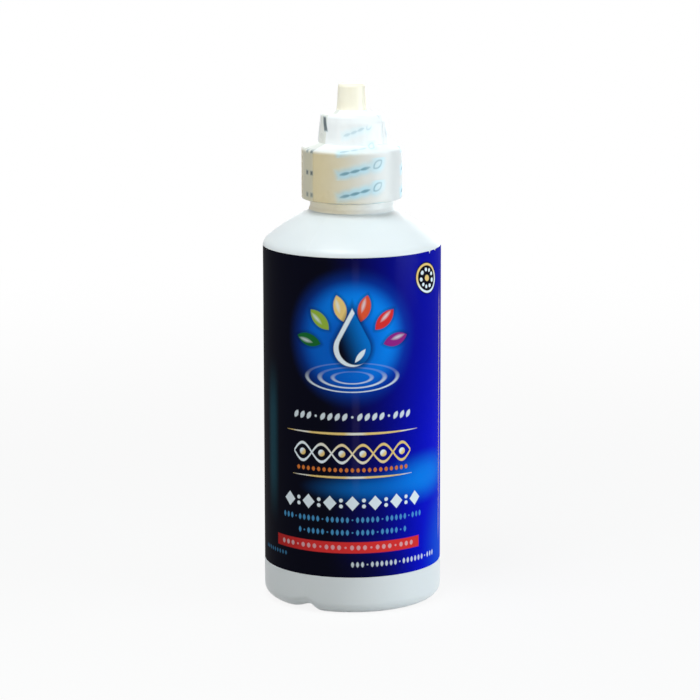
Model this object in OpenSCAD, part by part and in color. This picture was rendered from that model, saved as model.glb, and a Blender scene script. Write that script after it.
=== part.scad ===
// Squeeze bottle for contact lens solution, with a dropper plug and a stepped screw cap.
// Millimetres. The origin is the centre of the base and +Z is up.
// The front of the label faces -Y.

/* [Body] */
// Outer diameter of the bottle body
body_d = 36; // [35:0.5:40]
// Wall thickness of the blow-moulded body
wall = 1; // [0.8:0.1:1.3]
// Radius of the rounded heel around the base
heel_r = 2.2; // [1.6:0.1:3]
// Height of the raised middle of the base
push_up = 1.5; // [0.8:0.1:2.5]
// Width of the flat ring that the bottle stands on
foot_w = 2.4; // [1.5:0.1:4]

/* [Shoulder] */
// Height where the shoulder meets the neck
shoulder_top = 79.6; // [77:0.1:81]
// Radius of the edge between body and shoulder
edge_r = 1.5; // [0.8:0.1:2]
// Slope of the shoulder at that edge, in degrees
steep = 40; // [36:1:42]
// Slope of the shoulder at the neck, in degrees
gentle = 25; // [22:1:28]
// Radius of the hollow corner at the foot of the neck
neck_fillet = 0.8; // [0.3:0.1:1.2]

/* [Neck] */
// Diameter of the plain band under the cap
band_d = 16.6; // [16.2:0.1:17]
// Diameter of the neck between its threads
finish_d = 15.7; // [15.5:0.1:15.9]
// Outer diameter of the neck thread
thread_d = 17.7; // [17.4:0.1:17.7]
// Diameter of the neck bore
bore_d = 12.4; // [12:0.1:12.8]
// Height of the top of the neck
neck_top = 89.5; // [89.2:0.1:89.6]
// Rise of the thread in one turn
pitch = 3.175; // [3:0.005:3.4]

/* [Cap] */
// Height of the lower edge of the cap
cap_low = 82.05; // [81.9:0.05:82.3]
// Outer diameter of the cap skirt
skirt_d = 20; // [20:0.1:21]
// Bore of the cap skirt
skirt_bore = 18; // [17.9:0.05:18.1]
// Height of the flat top of the skirt
skirt_top = 92.25; // [92:0.05:92.6]
// Outer diameter of the middle step
step_d = 12.1; // [11.8:0.1:12.6]
// Height of the top of the middle step
step_top = 98.85; // [98.5:0.05:99]
// Diameter of the finger tip at its foot
tip_d = 5.9; // [5.6:0.1:6.4]
// Height of the top of the finger tip
tip_top = 104.95; // [104.5:0.05:106]
// Radius of the flare at the foot of the tip
flare_r = 1.5; // [1:0.1:1.6]

/* [Label and film] */
// Lower edge of the label
label_low = 7.7; // [5:0.1:12]
// Upper edge of the label
label_high = 72.55; // [66:0.05:72.6]
// Thickness of the label
label_t = 0.1; // [0.08:0.01:0.14]
// Gap between the two ends of the label
label_gap = 2; // [0.5:0.5:4]
// Thickness of the shrink film
film_t = 0.1; // [0.08:0.01:0.12]

/* [Contents] */
// Height of the liquid above the table
fill_level = 68.6; // [40:0.2:71]

/* [Hidden] */
$fn = 96;
eps = 0.01;

// Gaps of the label to its panel, of the film to the cap, and of the film to the neck
label_clear = 0.02;
film_clear = 0.03;
neck_film_clear = 0.02;

body_r = body_d / 2;
panel_r = body_r - label_t - 2 * label_clear;
band_r = band_d / 2;
foot_out = body_r - heel_r;
foot_in = foot_out - foot_w;

// The shoulder is one arc whose slope runs from gentle at the neck to steep at the edge.
edge_x = body_r - edge_r;
arc_end_r = edge_x + edge_r * sin(steep);
arc_r = (arc_end_r - band_r) / (sin(steep) - sin(gentle));
arc_x = band_r - arc_r * sin(gentle);
arc_z = shoulder_top - arc_r * cos(gentle);
edge_z = arc_z + (arc_r - edge_r) * cos(steep);
fillet_a = asin((band_r + neck_fillet - arc_x) / (arc_r + neck_fillet));
fillet_z = arc_z + (arc_r + neck_fillet) * cos(fillet_a);

// Levels inside the closed cap
flange_t = 0.8;
flange_top = neck_top + flange_t;
roof_z = skirt_top - 1.15;
nozzle_top = 102.9;
pin_top = nozzle_top + 0.4;

// Radii of the cap: its bores, the pin that closes the orifice, and its edges and corners
step_bore_r = 5;
tip_bore_r = 1.95;
pin_r = 0.5;
lip_edge_r = 0.25;
skirt_edge_r = 0.5;
step_edge_r = 0.4;
tip_edge_r = 0.7;
corner_r = 0.3;
// The tip narrows by this much on each side
tip_draft = 0.2;

// Radii of the dropper: its flange, the foot and neck of its cone, its nozzle and its passage
flange_r = 7.6;
cone_foot_r = 4.2;
cone_top_r = 3.7;
nozzle_r = 1.45;
passage_r = 3;
orifice_r = 0.6;
plug_clear = 0.01;

// Liner ring, and its gap to the cap and to the flange
liner_r = 8.6;
liner_bore_r = 4.9;
liner_clear = 0.04;

// Threads: the cap's ridge runs in the middle of the groove of the neck's ridge.
ridge_low = neck_top - 5.9;
ridge_root = 2;
ridge_crest = 0.9;
ridge_turns = 1.5;
inner_crest_r = 8.15;
steps = 48;

// Orientation notch in the heel, left of the front
notch_a = -31;
notch_w = 5;
notch_h = 0.9;
notch_deep = 0.7;

// Slack film round the middle step, as two rings: how far each stands off the step and leans to the right
fold_rise = 1.3;
fold_off = 0.85;
fold_shift = 0.7;
crown_off = 0.25;
crown_shift = 0.2;

// Points on an arc about (x, z), from angle a to angle b
function arc(x, z, r, a, b, n = 8) = [
    for (i = [0:n]) let (t = a + (b - a) * i / n) [x + r * cos(t), z + r * sin(t)]
];

// Profile of the shoulder, set back by d from the outer surface
function shoulder(d, stop_a) = concat(
    arc(edge_x, edge_z, edge_r - d, 0, 90 - steep, 5),
    arc(arc_x, arc_z, arc_r - d, 90 - steep, 90 - stop_a, 12)
);

// Profile of the space inside the bottle, set back by d from its wall
function hollow(d) = concat(
    [[0, push_up + wall + d], [foot_in - 1.5 * wall, push_up + wall + d], [foot_in + 0.3, wall + d]],
    arc(foot_out, heel_r, heel_r - wall - d, -90, 0, 6),
    shoulder(wall + d, gentle)
);

// One helical ridge about Z. crest_r is inside root_r for an internal thread.
module ridge(root_r, crest_r, root_w, crest_w, low, start, turns) {
    n = round(steps * turns);
    fade = 8;
    sunk = crest_r > root_r ? root_r - 0.25 : root_r + 0.25;
    section = [for (i = [0:n])
        let (grow = min(1, (i + 0.5) / fade, (n - i + 0.5) / fade))
        let (r = sunk + (crest_r - sunk) * grow)
        let (a = start + 360 * i / steps, z = low + pitch * i / steps)
        let (w = root_w / 2, c = (root_w + (crest_w - root_w) * grow) / 2)
        [
            [sunk * cos(a), sunk * sin(a), z - w],
            [r * cos(a), r * sin(a), z - c],
            [r * cos(a), r * sin(a), z + c],
            [sunk * cos(a), sunk * sin(a), z + w]
        ]];
    points = [for (s = section, p = s) p];
    sides = [for (i = [0:n - 1], k = [0:3])
        let (a = 4 * i + k, b = 4 * i + (k + 1) % 4)
        each [[a, b, b + 4], [a, b + 4, a + 4]]];
    ends = [[3, 2, 1], [3, 1, 0], [4 * n, 4 * n + 1, 4 * n + 2], [4 * n, 4 * n + 2, 4 * n + 3]];
    faces = concat(sides, ends);
    polyhedron(points, crest_r > root_r ? faces : [for (f = faces) [f[2], f[1], f[0]]], convexity = 8);
}

// A block at the heel, grown by g on every side
module notch(g) {
    rotate([0, 0, notch_a])
        translate([-notch_w / 2 - g, -body_r - 1, -1])
            cube([notch_w + 2 * g, 1 + heel_r + notch_deep + g, 1 + notch_h + g]);
}

module bottle() {
    outside = concat(
        [[0, push_up], [foot_in - 1.5, push_up], [foot_in, 0]],
        arc(foot_out, heel_r, heel_r, -90, 0, 8),
        [[body_r, label_low], [panel_r, label_low], [panel_r, label_high], [body_r, label_high]],
        shoulder(0, fillet_a),
        arc(band_r + neck_fillet, fillet_z, neck_fillet, 270 - fillet_a, 180, 5),
        [[band_r, cap_low - 0.15], [finish_d / 2, cap_low + 0.25], [finish_d / 2, neck_top - 0.3]],
        [[finish_d / 2 - 0.3, neck_top], [0, neck_top]]
    );
    bore = concat(hollow(0), [[bore_d / 2, shoulder_top], [bore_d / 2, neck_top + 1], [0, neck_top + 1]]);
    color([0.94, 0.97, 0.98]) {
        difference() {
            rotate_extrude() polygon(outside);
            difference() {
                rotate_extrude() polygon(bore);
                notch(wall);
            }
            notch(0);
        }
        ridge(finish_d / 2, thread_d / 2, ridge_root, ridge_crest, ridge_low, 0, ridge_turns);
    }
}

module dropper_insert() {
    plug_r = bore_d / 2 - plug_clear;
    plug_low = cap_low + 0.5;
    cone_top = step_top - 2.4;
    profile = concat(
        [[plug_r - 1, plug_low], [plug_r - 0.3, plug_low], [plug_r, plug_low + 0.7]],
        [[plug_r, neck_top], [flange_r, neck_top], [flange_r, flange_top - 0.2], [flange_r - 0.2, flange_top]],
        [[cone_foot_r, flange_top], [cone_top_r, cone_top]],
        arc(cone_top_r - 1, cone_top, 1, 0, 60, 4),
        [[nozzle_r + 0.15, cone_top + 1.8], [nozzle_r, nozzle_top - 0.3]],
        arc(nozzle_r - 0.3, nozzle_top - 0.3, 0.3, 0, 90, 3),
        [[orifice_r, nozzle_top], [orifice_r + 0.15, cone_top + 1.2], [passage_r - 0.4, cone_top - 0.6]],
        [[passage_r, flange_top], [plug_r - 1, neck_top - 1]]
    );
    color([0.96, 0.97, 0.95]) rotate_extrude() polygon(profile);
}

module cap() {
    step_r = step_d / 2;
    tip_r = tip_d / 2;
    skirt_r = skirt_d / 2;
    outside = concat(
        [[0, cap_low], [skirt_r - lip_edge_r, cap_low], [skirt_r, cap_low + lip_edge_r]],
        arc(skirt_r - skirt_edge_r, skirt_top - skirt_edge_r, skirt_edge_r, 0, 90, 5),
        arc(step_r + corner_r, skirt_top + corner_r, corner_r, 270, 180, 3),
        arc(step_r - step_edge_r, step_top - step_edge_r, step_edge_r, 0, 90, 4),
        arc(tip_r + flare_r, step_top + flare_r, flare_r, 270, 180, 8),
        arc(tip_r - tip_draft - tip_edge_r, tip_top - tip_edge_r, tip_edge_r, 0, 90, 6),
        [[0, tip_top]]
    );
    inside = [
        [0, cap_low - 1], [skirt_bore / 2, cap_low - 1], [skirt_bore / 2, roof_z], [step_bore_r, roof_z],
        [step_bore_r - 0.1, step_top - 1.4], [tip_bore_r, step_top - 0.4],
        [tip_bore_r, pin_top], [0, pin_top]
    ];
    color([0.96, 0.94, 0.88]) {
        difference() {
            rotate_extrude() polygon(outside);
            rotate_extrude() polygon(inside);
        }
        // Pin that closes the orifice of the nozzle
        translate([0, 0, nozzle_top - 1]) cylinder(r1 = pin_r - 0.2, r2 = pin_r, h = 0.6);
        translate([0, 0, nozzle_top - 0.4]) cylinder(r = pin_r, h = 0.6 + pin_top - nozzle_top);
        ridge(skirt_bore / 2, inner_crest_r, ridge_root - 0.1, ridge_crest + 0.3, ridge_low, 180, ridge_turns);
    }
}

// Ring that seals the cap on the flange of the dropper
module cap_liner() {
    color([0.85, 0.88, 0.86])
        translate([0, 0, flange_top + liner_clear])
            difference() {
                cylinder(r = liner_r, h = roof_z - flange_top - 2 * liner_clear);
                translate([0, 0, -1]) cylinder(r = liner_bore_r, h = roof_z - flange_top + 2);
            }
}

// Loose part of the film around the middle step, drawn tight on the left and slack on the right
module film_tent(t) {
    module ring(shift, z, r) translate([shift, 0, z]) cylinder(r = r + t, h = eps + t);
    module low_ring() ring(0, skirt_top, skirt_d / 2 - 0.35);
    module fold_ring() ring(fold_shift, skirt_top + fold_rise, step_d / 2 + fold_off);
    module crown_ring() ring(crown_shift, step_top + 0.05, step_d / 2 + crown_off);
    union() {
        hull() {
            low_ring();
            fold_ring();
        }
        hull() {
            fold_ring();
            crown_ring();
        }
    }
}

// Shrink film on the cap, down to the tear line under the skirt
module seal_band_upper() {
    r = skirt_d / 2 + film_clear;
    under = cap_low - film_clear;
    sleeve = concat(
        [[r - 0.7, under - film_t], [r, under - film_t], [r + film_t, cap_low]],
        arc(r - skirt_edge_r, skirt_top - skirt_edge_r + 0.05, skirt_edge_r + film_t, 0, 75, 5),
        arc(r - skirt_edge_r, skirt_top - skirt_edge_r + 0.05, skirt_edge_r, 75, 0, 5),
        [[r, under], [r - 0.7, under]]
    );
    color([0.8, 0.92, 0.97, 0.4]) {
        rotate_extrude() polygon(sleeve);
        difference() {
            film_tent(film_t);
            film_tent(0);
            // Clear of the flare at the foot of the tip
            translate([0, 0, skirt_top]) cylinder(r = tip_d / 2 + flare_r + 0.1, h = 10);
        }
    }
}

// Shrink film left on the neck below the tear line
module seal_band_lower() {
    r = band_r + neck_film_clear;
    high = cap_low - 0.35;
    foot = [band_r + 0.7, fillet_z - 0.36];
    color([0.8, 0.92, 0.97, 0.4]) rotate_extrude()
        polygon([
            [r, high], [r + film_t, high], [r + film_t, fillet_z + 0.05],
            [foot[0] + film_t, foot[1] + film_t], foot, [r, fillet_z]
        ]);
}

module label() {
    r = panel_r + label_clear;
    color([0.06, 0.07, 0.42])
        difference() {
            translate([0, 0, label_low + 0.05]) cylinder(r = r + label_t, h = label_high - label_low - 0.1);
            translate([0, 0, label_low - 1]) cylinder(r = r, h = label_high);
            translate([-label_gap / 2, 0, label_low - 1]) cube([label_gap, body_r + 1, label_high]);
        }
}

module solution() {
    color([0.75, 0.88, 0.97])
        difference() {
            intersection() {
                rotate_extrude() polygon(concat(hollow(0.03), [[0, shoulder_top]]));
                cylinder(r = body_r, h = fill_level);
            }
            notch(wall + 0.03);
        }
}

bottle();
dropper_insert();
cap();
cap_liner();
seal_band_upper();
seal_band_lower();
label();
solution();
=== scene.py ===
"""Looks of a lens solution bottle: turned plastic parts, a printed wrap label and shrink film."""

import math
from functools import cached_property

import bmesh
import bpy
from bpy.props import FloatProperty, FloatVectorProperty, IntProperty, PointerProperty
from bpy.types import Operator, Panel, PropertyGroup
from mathutils import Matrix, Vector, noise


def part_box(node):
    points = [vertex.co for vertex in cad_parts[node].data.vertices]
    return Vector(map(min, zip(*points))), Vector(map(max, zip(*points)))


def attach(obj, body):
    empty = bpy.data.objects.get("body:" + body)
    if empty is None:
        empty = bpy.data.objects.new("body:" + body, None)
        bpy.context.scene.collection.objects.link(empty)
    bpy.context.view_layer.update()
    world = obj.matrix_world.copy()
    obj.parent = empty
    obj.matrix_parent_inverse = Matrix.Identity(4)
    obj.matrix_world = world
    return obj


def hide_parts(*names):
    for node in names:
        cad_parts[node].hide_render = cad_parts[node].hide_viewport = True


bl_info = {
    "name": "Lens Solution Bottle",
    "version": (1, 0, 0),
    "blender": (4, 5, 0),
    "location": "3D View > Sidebar > Bottle",
    "description": "Dresses a dropper bottle for lens solution around its packed parts",
    "category": "Add Mesh",
}

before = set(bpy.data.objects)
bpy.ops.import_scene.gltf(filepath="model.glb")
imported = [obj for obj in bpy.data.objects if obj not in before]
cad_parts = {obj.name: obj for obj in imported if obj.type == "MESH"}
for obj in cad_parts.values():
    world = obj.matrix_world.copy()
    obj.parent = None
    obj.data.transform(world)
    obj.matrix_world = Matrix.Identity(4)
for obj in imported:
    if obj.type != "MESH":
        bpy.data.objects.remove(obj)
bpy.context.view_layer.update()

MM = 0.001
SAME = 0.0005 * MM  # vertices closer than this are one


def edges_of(node):
    """Outer radius, lowest and highest level of a CAD node, in millimetres."""
    low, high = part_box(node)
    return high[1] / MM, low[2] / MM, high[2] / MM


BODY_R, _, NECK_TOP = edges_of("bottle")
SKIRT_R, CAP_LOW, CAP_TOP = edges_of("cap")
FILM_R = SKIRT_R + 0.1
LABEL_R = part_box("label")[1][0] / MM
_, LABEL_LOW, LABEL_HIGH = edges_of("label")
_, NECK_FILM_LOW, NECK_FILM_HIGH = edges_of("seal_band_lower")

PITCH = 3.175  # rise of the thread in one turn
THREAD_LOW = NECK_TOP - 5.9
THREAD_TURNS = 1.5
PARTING = -31.0  # bearing of the mould's parting line, in degrees round from the front


# Settings


def colour(name, default, text):
    """A colour that the user can change, in linear light."""
    return FloatVectorProperty(
        name=name, description=text, default=default, size=3, min=0, max=1, subtype="COLOR"
    )


def mm(name, default, text, low, high):
    """A size in millimetres that the user can change."""
    text += " in mm"
    return FloatProperty(name=name, description=text, default=default, min=low, max=high, precision=3)


def angle(name, default, text):
    """An angle that the user can change; the default is in degrees."""
    return FloatProperty(name=name, description=text, default=math.radians(default), subtype="ANGLE")


class BottleShape(PropertyGroup):
    """Sizes of the blown bottle."""

    steps: IntProperty(name="Steps", description="Even steps in a full turn", default=192, min=48, max=384)
    wall: mm("Wall", 1.0, "Thickness of the blown wall", 0.8, 1.3)
    heel: mm("Heel radius", 2.4, "Radius round the base", 1.6, 3)
    push_up: mm("Push-up", 1.5, "Height of the raised middle of the base", 0.8, 2.5)
    foot: mm("Foot width", 2.4, "Width of the ring that it stands on", 1.5, 4)
    edge: mm("Edge radius", 2.4, "Radius between body and shoulder", 1.2, 3)
    steep: angle("Steep", 40, "Shoulder slope at its edge")
    gentle: angle("Gentle", 25, "Shoulder slope at the neck")
    shoulder: mm("Shoulder top", 79.6, "Height where shoulder and neck meet", 77, 81)
    fillet: mm("Neck fillet", 0.8, "Radius at the foot of the neck", 0.3, 1.2)
    band: mm("Neck band", 8.3, "Radius of the plain band under the cap", 8.1, 8.5)
    finish: mm("Neck", 7.85, "Radius of the neck between its threads", 7.7, 8)
    bore: mm("Bore", 6.2, "Radius of the neck bore", 6, 6.4)
    lift: mm("Heel lift", 0.1, "How far the heel is drawn up left of the parting line", 0, 1)
    crease: mm("Heel crease", 1.1, "Further rise of the heel at the parting line", 0, 1.5)


class CapShape(PropertyGroup):
    """Sizes of the stepped cap."""

    skirt_top: mm("Skirt top", 92.25, "Height of the flat top of the skirt", 92, 92.6)
    step: mm("Step radius", 6.05, "Radius of the middle step", 5.9, 6.3)
    step_top: mm("Step top", 98.85, "Height of the top of the middle step", 98.5, 99)
    tip: mm("Tip radius", 2.95, "Radius of the finger tip at its foot", 2.8, 3.2)
    flare: mm("Flare", 1.5, "Radius at the foot of the finger tip", 1, 1.6)
    bore: mm("Skirt bore", 9.0, "Inner radius of the skirt", 8.95, 9.05)


class FilmShape(PropertyGroup):
    """Sizes of the shrink film and the wrap label."""

    film: mm("Film", 0.08, "Thickness of the shrink film", 0.04, 0.1)
    slack: mm("Slack", 0.5, "Lean of the loose film to the right", 0, 0.7)
    pleat: mm("Pleats", 0.16, "Depth of the pleats in the loose film", 0, 0.3)
    label: mm("Label", 0.09, "Thickness of the label", 0.05, 0.12)
    gap: angle("Gap", 6.4, "Gap between the ends of the label")
    wave: mm("Waves", 0.025, "Depth of the slow waves in the label", 0, 0.05)


class Plastics(PropertyGroup):
    """Colours of the moulded plastics and what is inside."""

    bottle: colour("Bottle", (0.79, 0.84, 0.86), "White polyethylene")
    cap: colour("Cap", (0.92, 0.87, 0.72), "Ivory polypropylene")
    # cap_deep: deeper, more tan colour of the skirt, partly painted shade.
    cap_deep: colour("Cap skirt", (0.86, 0.76, 0.49), "Deeper cream down the skirt, partly painted shade")
    dropper: colour("Dropper", (0.8, 0.83, 0.8), "Natural polyethylene")
    liner: colour("Liner", (0.62, 0.66, 0.64), "Foamed ring")
    liquid: colour("Solution", (0.8, 0.92, 0.98), "Clear liquid")


class LabelInks(PropertyGroup):
    """Inks of the wrap label, and two colours for painted reflections on it."""

    # Night and royal make the label's ground: partly print, partly painted shade at the left.
    night: colour("Night", (0.0012, 0.0014, 0.008), "Darkest blue, at the left")
    royal: colour("Royal", (0.0012, 0.005, 0.62), "Full blue, at the right")
    azure: colour("Azure", (0.003, 0.25, 0.92), "Glow behind the motifs")
    cobalt: colour("Cobalt", (0.002, 0.07, 0.55), "Edge of the glow")
    white: colour("White", (0.8, 0.9, 0.97), "White ink")
    pale: colour("Pale", (0.1, 0.42, 0.8), "Pale blue ink")
    gold: colour("Gold", (0.86, 0.62, 0.22), "Gold ink")
    amber: colour("Amber", (0.7, 0.2, 0.04), "Amber ink")
    red: colour("Red", (0.75, 0.035, 0.035), "Red ribbon")
    green: colour("Green", (0.01, 0.14, 0.03), "Green petal")
    lime: colour("Lime", (0.3, 0.46, 0.05), "Yellow-green petal")
    coral: colour("Coral", (0.8, 0.1, 0.04), "Coral petal")
    plum: colour("Plum", (0.3, 0.02, 0.24), "Plum petal")
    # Painted reflection: a faint blue-green upright streak of light at the left of the label.
    painted_teal_reflection: colour("Teal", (0.01, 0.06, 0.09), "Faint beam at the left")
    # Painted highlight: a faint purple upright streak down the middle of the label.
    painted_violet_highlight: colour("Violet", (0.02, 0.016, 0.09), "Faint beam at the middle")


class FilmInks(PropertyGroup):
    """Colours of the shrink film."""

    ink: colour("Ink", (0.2, 0.4, 0.5), "Blue grey print")
    dark: colour("Dark ink", (0.05, 0.08, 0.1), "Print over the seam")
    halo: colour("Halo", (0.62, 0.88, 0.98), "Pale spread round the print")
    # grey colours that band of painted reflection near the cap's left edge.
    grey: colour("Seam", (0.7, 0.71, 0.62), "Painted reflection near the left edge of the cap")
    # Painted warm shade: tan that the cap film takes on at its left.
    painted_warm_shade: colour("Warm shade", (0.88, 0.79, 0.55), "Warm shade painted on the left of the cap film")
    # Painted warm light: pale cream on the left of the neck film, lifting the shade under the cap.
    painted_warm_light: colour("Neck film", (0.99, 0.94, 0.77), "Film on the neck")
    # Painted shade: grey laid along creases of the loose film.
    painted_crease_shade: colour("Crease shade", (0.4, 0.5, 0.54), "Shade painted along creases in the loose film")
    clear: colour("Film", (0.96, 0.99, 1.0), "Faint tint of the clear film")


def metres(name, default, text):
    """A length in metres that the user can change."""
    return FloatProperty(name=name, description=text, default=default, unit="LENGTH")


def watts(name, default, text):
    """The power of a lamp that the user can change."""
    return FloatProperty(name=name, description=text, default=default, min=0, unit="POWER")


class StageSettings(PropertyGroup):
    """Camera and light."""

    distance: metres("Distance", 0.6366, "Camera to bottle, level")
    height: metres("Height", 0.1781, "Camera above the table")
    aside: metres("Aside", -0.00043, "Camera to the right")
    tilt: angle("Tilt", 11.325, "How far the camera looks down")
    roll: angle("Roll", -0.112, "Roll of the camera")
    focal: FloatProperty(name="Focal length", description="In image widths", default=3200 / 700, min=1)
    side: watts("Side", 1.42, "Lamp at the right")
    front: watts("Front", 0.155, "Low lamp at the left")
    top: watts("Top", 0.238, "Lamp overhead")
    back: watts("Back", 1.0, "Lamp behind")
    sky: FloatProperty(name="Sky", description="Strength of the even light", default=0.14, min=0, max=1)


# Modelling helpers


class Pen:
    """Draws the half outline of a turned part in the XZ plane, in millimetres, one stretch at a time."""

    def __init__(self, bm, x, z):
        self.bm = bm
        self.tip = bm.verts.new((x * MM, 0, z * MM))

    def line(self, x, z, steps=1):
        """Straight on to (x, z), in equal steps."""
        start, end = self.tip.co.copy(), Vector((x * MM, 0, z * MM))
        for step in range(1, steps + 1):
            self.tip = bmesh.ops.extrude_vert_indiv(self.bm, verts=[self.tip])["verts"][0]
            self.tip.co = start.lerp(end, step / steps)

    def lines(self, *points):
        for point in points:
            self.line(*point)

    def arc(self, x, z, radius, start, end, steps=6):
        """On to the arc about (x, z), then along it from start to end degrees above +X."""
        first = (x + radius * math.cos(math.radians(start)), z + radius * math.sin(math.radians(start)))
        if (self.tip.co - Vector((first[0] * MM, 0, first[1] * MM))).length > SAME:
            self.line(*first)
        turned = bmesh.ops.spin(
            self.bm,
            geom=[self.tip],
            cent=(x * MM, 0, z * MM),
            axis=(0, 1, 0),
            angle=math.radians(start - end),
            steps=steps,
        )
        self.tip = next(item for item in turned["geom_last"] if isinstance(item, bmesh.types.BMVert))


def bearings(steps, low=-180.0, high=180.0, fine=()):
    """Bearings from low to high in even steps, with finer ones added in each (from, to, step) of fine."""
    marks = [low + (high - low) * i / steps for i in range(steps + 1)]
    for start, end, step in fine:
        marks = [m for m in marks if not start < m < end]
        marks += [start + step * i for i in range(round((end - start) / step) + 1)]
    return sorted(set(round(m, 4) for m in marks))


def turn(bm, marks):
    """Turns everything drawn so far round the bottle's axis, through bearings that start at the front."""
    geom = bm.verts[:] + bm.edges[:]
    start = Matrix.Rotation(math.radians(marks[0] - 90), 3, "Z")
    bmesh.ops.rotate(bm, verts=bm.verts[:], cent=(0, 0, 0), matrix=start)
    for a, b in zip(marks, marks[1:]):
        step = math.radians(b - a)
        geom = bmesh.ops.spin(bm, geom=geom, cent=(0, 0, 0), axis=(0, 0, 1), angle=step, steps=1)["geom_last"]
    bmesh.ops.remove_doubles(bm, verts=bm.verts[:], dist=SAME)


def places(verts):
    """Each vertex with its degrees round from the front, its radius and its height in millimetres."""
    for vert in verts:
        x, y, z = vert.co
        yield vert, math.degrees(math.atan2(x, -y)), math.hypot(x, y) / MM, z / MM


def ease(value, low, high):
    """0 below low, 1 above high and smooth between. low may be the greater one."""
    t = min(1.0, max(0.0, (value - low) / (high - low)))
    return t * t * (3 - 2 * t)


def push(vert, out=0.0, up=0.0):
    """Moves a vertex away from the axis and up, in millimetres."""
    flat = Vector((vert.co.x, vert.co.y, 0))
    if flat.length > SAME:
        vert.co += flat.normalized() * out * MM
    vert.co.z += up * MM


def screw_ridge(name, root, crest, root_width, crest_width, start, steps=72, fade=10):
    """A closed helical ridge as its own object, in millimetres. A crest inside the root makes it internal."""
    sunk = root - 0.2 if crest > root else root + 0.2
    count = round(THREAD_TURNS * steps)
    bm = bmesh.new()
    corners = [(sunk, -root_width), (crest, -crest_width), (crest, crest_width), (sunk, root_width)]
    ring = [bm.verts.new((x * MM, 0, (THREAD_LOW + z / 2) * MM)) for x, z in corners]
    first = [bm.edges.new((ring[i], ring[(i + 1) % 4])) for i in range(4)]
    bmesh.ops.rotate(bm, verts=ring, cent=(0, 0, 0), matrix=Matrix.Rotation(math.radians(start), 3, "Z"))
    geom = ring + first
    rings = [ring]
    for _ in range(count):
        made = bmesh.ops.spin(
            bm,
            geom=geom,
            cent=(0, 0, 0),
            axis=(0, 0, 1),
            dvec=(0, 0, PITCH / steps * MM),
            angle=math.tau / steps,
            steps=1,
        )
        geom = made["geom_last"]
        rings.append([item for item in geom if isinstance(item, bmesh.types.BMVert)])
    last = [item for item in geom if isinstance(item, bmesh.types.BMEdge)]
    for loop in (first, last):
        bmesh.ops.contextual_create(bm, geom=loop)
    for step, ring in enumerate(rings):
        grown = min(1, (step + 0.5) / fade, (count - step + 0.5) / fade)
        for vert, _, r, _ in places(ring):
            push(vert, out=(sunk - r) * (1 - grown))
    return shell(name, bm)


def add(name, data):
    """Puts a mesh, lamp or camera in the scene."""
    made = bpy.data.objects.new(name, data)
    bpy.context.scene.collection.objects.link(made)
    return made


def loose_object(name, bm):
    mesh = bpy.data.meshes.new(name)
    bm.to_mesh(mesh)
    bm.free()
    return add(name, mesh)


def shell(name, bm, thickness=0.0):
    """A closed piece, or a sheet that gets a thickness in millimetres."""
    bmesh.ops.recalc_face_normals(bm, faces=bm.faces[:])
    if thickness:
        bmesh.ops.solidify(bm, geom=bm.faces[:], thickness=thickness * MM)
    return loose_object(name, bm)


def fuse(piece, *others):
    """Joins closed objects into piece as one solid and deletes them."""
    for other in others:
        joint = piece.modifiers.new("fuse", "BOOLEAN")
        joint.operation = "UNION"
        joint.solver = "EXACT"
        joint.object = other
    bpy.context.view_layer.update()
    solid = bpy.data.meshes.new_from_object(piece.evaluated_get(bpy.context.evaluated_depsgraph_get()))
    piece.modifiers.clear()
    old, piece.data = piece.data, solid
    bpy.data.meshes.remove(old)
    solid.name = piece.name
    for other in others:
        bpy.data.objects.remove(other)


def soften(mesh, limit=30):
    """Smooth shading, with an edge kept sharp where faces meet at more than limit degrees."""
    bm = bmesh.new()
    bm.from_mesh(mesh)
    for face in bm.faces:
        face.smooth = True
    for edge in bm.edges:
        edge.smooth = len(edge.link_faces) != 2 or edge.calc_face_angle(0) < math.radians(limit)
    bm.to_mesh(mesh)
    bm.free()


def hand_over(piece, material, body, node):
    """Gives a piece its shading and material, the body that it rides on and the node that it stands for."""
    soften(piece.data)
    piece.data.materials.clear()
    piece.data.materials.append(material)
    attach(piece, body)
    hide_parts(node)


def dress_node(node, material):
    """Gives a CAD node its finish."""
    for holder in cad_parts[node].material_slots:
        holder.material = material


# Material helpers


class Term:
    """A shader value that takes part in plain arithmetic."""

    def __init__(self, sheet, socket):
        self.sheet = sheet
        self.socket = socket

    def __add__(self, other):
        return self.sheet.math("ADD", self, other)

    def __sub__(self, other):
        return self.sheet.math("SUBTRACT", self, other)

    def __rsub__(self, other):
        return self.sheet.math("SUBTRACT", other, self)

    def __mul__(self, other):
        return self.sheet.math("MULTIPLY", self, other)

    def __truediv__(self, other):
        return self.sheet.math("DIVIDE", self, other)

    def __abs__(self):
        return self.sheet.math("ABSOLUTE", self)

    __radd__ = __add__
    __rmul__ = __mul__


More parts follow.
